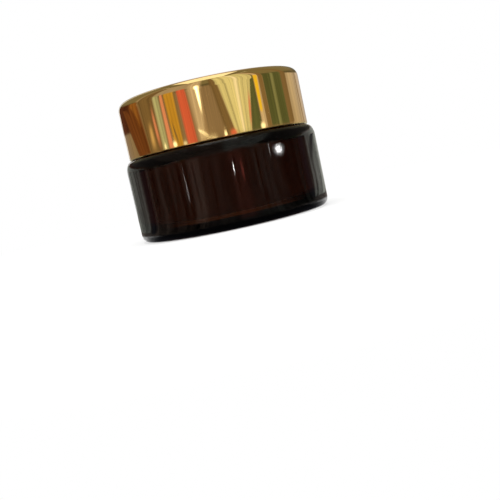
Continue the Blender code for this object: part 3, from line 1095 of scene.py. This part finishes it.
def sheet_mesh(name, rows, material):
    """A single sheet from equally long rows of points, mapped from 0 to 1 both ways."""
    mesh_data = bmesh.new()
    mapped = mesh_data.loops.layers.uv.new("across_and_up")
    grid = [[mesh_data.verts.new(point) for point in row] for row in rows]
    columns, bands = len(rows[0]) - 1, len(rows) - 1
    for j in range(bands):
        for i in range(columns):
            corners = ((i, j), (i + 1, j), (i + 1, j + 1), (i, j + 1))
            face = mesh_data.faces.new([grid[row][column] for column, row in corners])
            for loop, (column, row) in zip(face.loops, corners):
                loop[mapped].uv = (column / columns, row / bands)
    sheet = as_piece(name, mesh_data)
    sheet.data.materials.append(material)
    return sheet


def span(edges):
    """Degrees between a sheet's left and right edges."""
    return edges[1] - edges[0]


def arc_sheet(name, stops, material):
    """A sheet that only reflections show, from (edges, reach, level) stops round the jar."""
    widest = max(span(edges) for edges, reach, level in stops)
    steps = max(2, math.ceil(widest / CARD_SWEEP_STEP))
    rows = [
        [round_jar(reach, turn, level) for turn in sweep(*edges, steps)]
        for edges, reach, level in stops
    ]
    mirrored_only(sheet_mesh(name, rows, material))


def stand_card(card, name, reach, tint):
    """Stand one card on its arc round the jar."""
    stops = [(card.foot, reach, card.low)]
    if card.low < KNEE < card.high:
        stops.append((card.head, reach, KNEE))
    stops.append((card.head, reach, card.high))
    mask = soft_edges(card.soft, card.rise, card.fall)
    material = lit_card(name, tint, card.strength, span(card.head), card.contrast, mask)
    arc_sheet(name, stops, material)


def lay_mat(mat, name, near, reach, level, tint):
    """Lay one mat on the floor from near the jar to the screen, and up the screen's foot."""
    drawn_in = tuple(mat.share * turn for turn in mat.edges)
    stops = [(drawn_in, near, level), (mat.edges, reach, level), (mat.edges, reach, FOOT)]
    mask = soft_edges(mat.soft, MAT_RISE)
    material = lit_card(name, tint, mat.strength, span(mat.edges), mat.contrast, mask)
    arc_sheet(name, stops, material)


def hang_apron(apron, name, studio, order, tint):
    """Hang one apron round the jar, a little lower than the one before."""
    near, reach = studio.apron_start, studio.apron_reach
    low = studio.apron_level - APRON_SPACING * order
    high = low + studio.apron_slope * (reach - near)
    mask = soft_edges(APRON_SIDES, fall=APRON_FALL)
    material = lit_card(name, tint, apron.strength, span(apron.edges), APRON_CONTRAST, mask)
    arc_sheet(name, [(apron.edges, near, low), (apron.edges, reach, high)], material)


def lay_ring(ring, name, start, reach, level, tint):
    """Lay one ring on the floor, between two distances from the jar's axis."""
    edges = (-ring.half_turn, ring.half_turn)
    stops = [(edges, far, ring.layer * level) for far in (start, reach)]
    mask = soft_edges(RING_SIDES, ring.rise, ring.fall)
    material = lit_card(name, tint, ring.strength, ring.weave, RING_CONTRAST, mask)
    arc_sheet(name, stops, material)


def hang_spot(spot, name, reach, tint):
    """Hang one small soft lamp in front of the screen."""
    edges = (spot.turn - spot.wide, spot.turn + spot.wide)
    levels = sweep(spot.level - spot.high, spot.level + spot.high, 2)
    material = lit_card(name, tint, spot.strength, spot.wide, SPOT_CONTRAST, soft_round)
    arc_sheet(name, [(edges, reach, level) for level in levels], material)


def floor_material(tint, studio):
    """A pale floor that keeps the jar's shadow and fades to the white backdrop."""
    finish = new_finish("studio_floor")
    place = {0: finish.place()}
    away = finish.add("ShaderNodeVectorMath", {"operation": "LENGTH"}, place, output="Value")
    fade = ((away - studio.fade_start) / studio.fade_width).clamped()
    mottle = finish.noise(40.0, 4.0)
    painted = finish.tinted(tint, 0.98 + 0.04 * mottle)
    paint = finish.add("ShaderNodeBsdfDiffuse", {}, {"Color": painted})
    glow = finish.add("ShaderNodeEmission", {}, {"Color": (1.0, 1.0, 1.0, 1.0)})
    share = finish.seen() * (studio.floor_glow + (1.0 - studio.floor_glow) * fade)
    material = finish.surface(finish.add("ShaderNodeMixShader", {}, {0: share, 1: paint, 2: glow}))
    material.cycles.emission_sampling = "NONE"
    return material


def hang_softbox(box):
    """Hang one rectangular lamp that points at the jar."""
    lamp = bpy.data.lights.new(box.name, "AREA")
    lamp.shape = "RECTANGLE"
    lamp.size = box.width
    lamp.size_y = box.depth
    lamp.energy = box.power
    holder = bpy.data.objects.new(box.name, lamp)
    holder.location = box.place
    aim = Vector(LAMP_AIM) - Vector(box.place)
    holder.rotation_euler = aim.to_track_quat("-Z", "Y").to_euler()
    holder.visible_glossy = False
    bpy.context.scene.collection.objects.link(holder)


class CREAMJAR_OT_studio(bpy.types.Operator):
    """Set up the floor, the backdrop, the cards, the lamps and the camera"""

    bl_idname = "cream_jar.studio"
    bl_label = "Studio"

    def execute(self, context):
        jar = context.scene.cream_jar
        self.make_floor(jar)
        self.make_cards(jar)
        self.make_roof(jar)
        for box in SOFTBOXES:
            hang_softbox(box)
        self.make_backdrop(context.scene, jar.studio)
        self.make_camera(context.scene, jar.studio)
        context.scene.view_settings.view_transform = "Standard"
        return {"FINISHED"}

    @staticmethod
    def make_floor(jar):
        """One large sheet under the jar."""
        size = jar.studio.floor_size
        across, along = sweep(-size, size, FLOOR_CELLS), sweep(size, -size, FLOOR_CELLS)
        rows = [[(x, y, -FLOOR_DROP) for x in across] for y in along]
        floor = sheet_mesh("studio_floor", rows, floor_material(jar.colours.floor, jar.studio))

    @staticmethod
    def make_cards(jar):
        """The cards, small lamps, mats, aprons and rings that the gold and the glass mirror."""
        studio, tints = jar.studio, jar.cards
        reach, level = studio.screen_reach, studio.core_level

        def listed(kind, sheets):
            for order, sheet in enumerate(sheets):
                yield order, sheet, f"{kind}_{order}_{sheet.colour}", getattr(tints, sheet.colour)

        for order, card, name, tint in listed("card", CARDS):
            stand_card(card, name, reach - CARD_SPACING * order, tint)
        for order, spot, name, tint in listed("spot", SPOTS):
            hang_spot(spot, name, reach - CARD_SPACING * (len(CARDS) + order), tint)
        for order, mat, name, tint in listed("mat", MATS):
            far, height = reach - CARD_SPACING * order, MAT_SPACING * (order + 1)
            lay_mat(mat, name, studio.mat_reach, far, height, tint)
        for order, apron, name, tint in listed("apron", APRONS):
            hang_apron(apron, name, studio, order, tint)
        core, pale = getattr(tints, CORE.colour), getattr(tints, PALE_RING.colour)
        lay_ring(CORE, "core_night", studio.core_start, studio.core_reach, level, core)
        lay_ring(PALE_RING, "ring_beige", studio.ring_start, studio.ring_reach, level, pale)

    @staticmethod
    def make_roof(jar):
        """A bronze roof with a pale front and a white skylight, for the lid's edge to mirror."""
        studio, tints = jar.studio, jar.cards
        reach, half, high = studio.screen_reach, studio.skylight_half, studio.roof_height
        front = studio.skylight_front
        for name, across, along, tint, strength in (
            ("roof_left", (-reach, -half), (-reach, reach), tints.bronze, 1.0),
            ("roof_right", (half, reach), (-reach, reach), tints.bronze, 1.0),
            ("roof_front", (-half, half), (-reach, -front), tints.ivory, 0.5),
            ("skylight", (-half, half), (-front, reach), tints.lamp, 1.4),
        ):
            columns, bands = ROOF_CELLS
            rows = [[(x, y, high) for x in sweep(*across, columns)] for y in sweep(*along, bands)]
            mask = soft_edges(ROOF_SIDES)
            material = lit_card(name, tint, strength, ROOF_WEAVE, ROOF_CONTRAST, mask)
            mirrored_only(sheet_mesh(name, rows, material))

    @staticmethod
    def make_backdrop(scene, studio):
        """White to the eye and in reflections, and a soft room light for everything else."""
        world = bpy.data.worlds.new("backdrop")
        scene.world = world
        finish = Finish(world)
        strength = studio.room_light + (1.0 - studio.room_light) * finish.seen()
        sockets = {"Color": (1.0, 1.0, 1.0, 1.0), "Strength": strength}
        background = finish.add("ShaderNodeBackground", {}, sockets)
        finish.add("ShaderNodeOutputWorld", {}, {"Surface": background})

    @staticmethod
    def make_camera(scene, studio):
        """A camera close in front of the jar, tilted down and rolled as it was held."""
        pitch, yaw, roll = studio.camera_pitch, studio.camera_yaw, studio.camera_roll
        level = math.cos(pitch)
        ahead = Vector((math.sin(yaw) * level, math.cos(yaw) * level, -math.sin(pitch)))
        right = Vector((math.cos(yaw), -math.sin(yaw), 0.0))
        above = right.cross(ahead)
        across = math.cos(roll) * right - math.sin(roll) * above
        upward = math.sin(roll) * right + math.cos(roll) * above
        camera = bpy.data.objects.new("camera", bpy.data.cameras.new("camera"))
        camera.data.lens = studio.camera_lens
        camera.data.clip_start = CLIP_START
        axes = Matrix((across, upward, -ahead)).transposed()
        place = Matrix.Translation((0.0, -studio.camera_distance, studio.camera_height))
        camera.matrix_world = place @ axes.to_4x4()
        scene.collection.objects.link(camera)
        scene.camera = camera


OPERATORS = (
    CREAMJAR_OT_glass_jar,
    CREAMJAR_OT_cream,
    CREAMJAR_OT_sealing_disc,
    CREAMJAR_OT_lid_liner,
    CREAMJAR_OT_lid_inner_cap,
    CREAMJAR_OT_lid_shell,
    CREAMJAR_OT_studio,
)


class VIEW3D_PT_cream_jar(bpy.types.Panel):
    """Lists the jar's pieces and the settings they are built from"""

    bl_label = "Cream Jar"
    bl_space_type = "VIEW_3D"
    bl_region_type = "UI"
    bl_category = "Cream Jar"

    def draw(self, context):
        jar = context.scene.cream_jar
        for operator in OPERATORS:
            self.layout.operator(operator.bl_idname)
        for group_name in CreamJar.__annotations__:
            group = getattr(jar, group_name)
            box = self.layout.box()
            for name in group.__annotations__:
                box.prop(group, name)


CLASSES = (
    GlassSizes,
    ThreadSizes,
    LidSizes,
    DiscSizes,
    CreamSizes,
    FinishColours,
    CardColours,
    StudioSettings,
    CreamJar,
    *OPERATORS,
    VIEW3D_PT_cream_jar,
)


def register():
    """Register the settings, the operators and the panel."""
    for each in CLASSES:
        bpy.utils.register_class(each)
    bpy.types.Scene.cream_jar = PointerProperty(type=CreamJar)


def unregister():
    """Remove what register added."""
    del bpy.types.Scene.cream_jar
    for each in reversed(CLASSES):
        bpy.utils.unregister_class(each)


def main():
    """Build every piece and the studio."""
    register()
    bpy.ops.cream_jar.glass_jar()
    bpy.ops.cream_jar.cream()
    bpy.ops.cream_jar.sealing_disc()
    bpy.ops.cream_jar.lid_liner()
    bpy.ops.cream_jar.lid_inner_cap()
    bpy.ops.cream_jar.lid_shell()
    bpy.ops.cream_jar.studio()


if __name__ == "__main__":
    main()
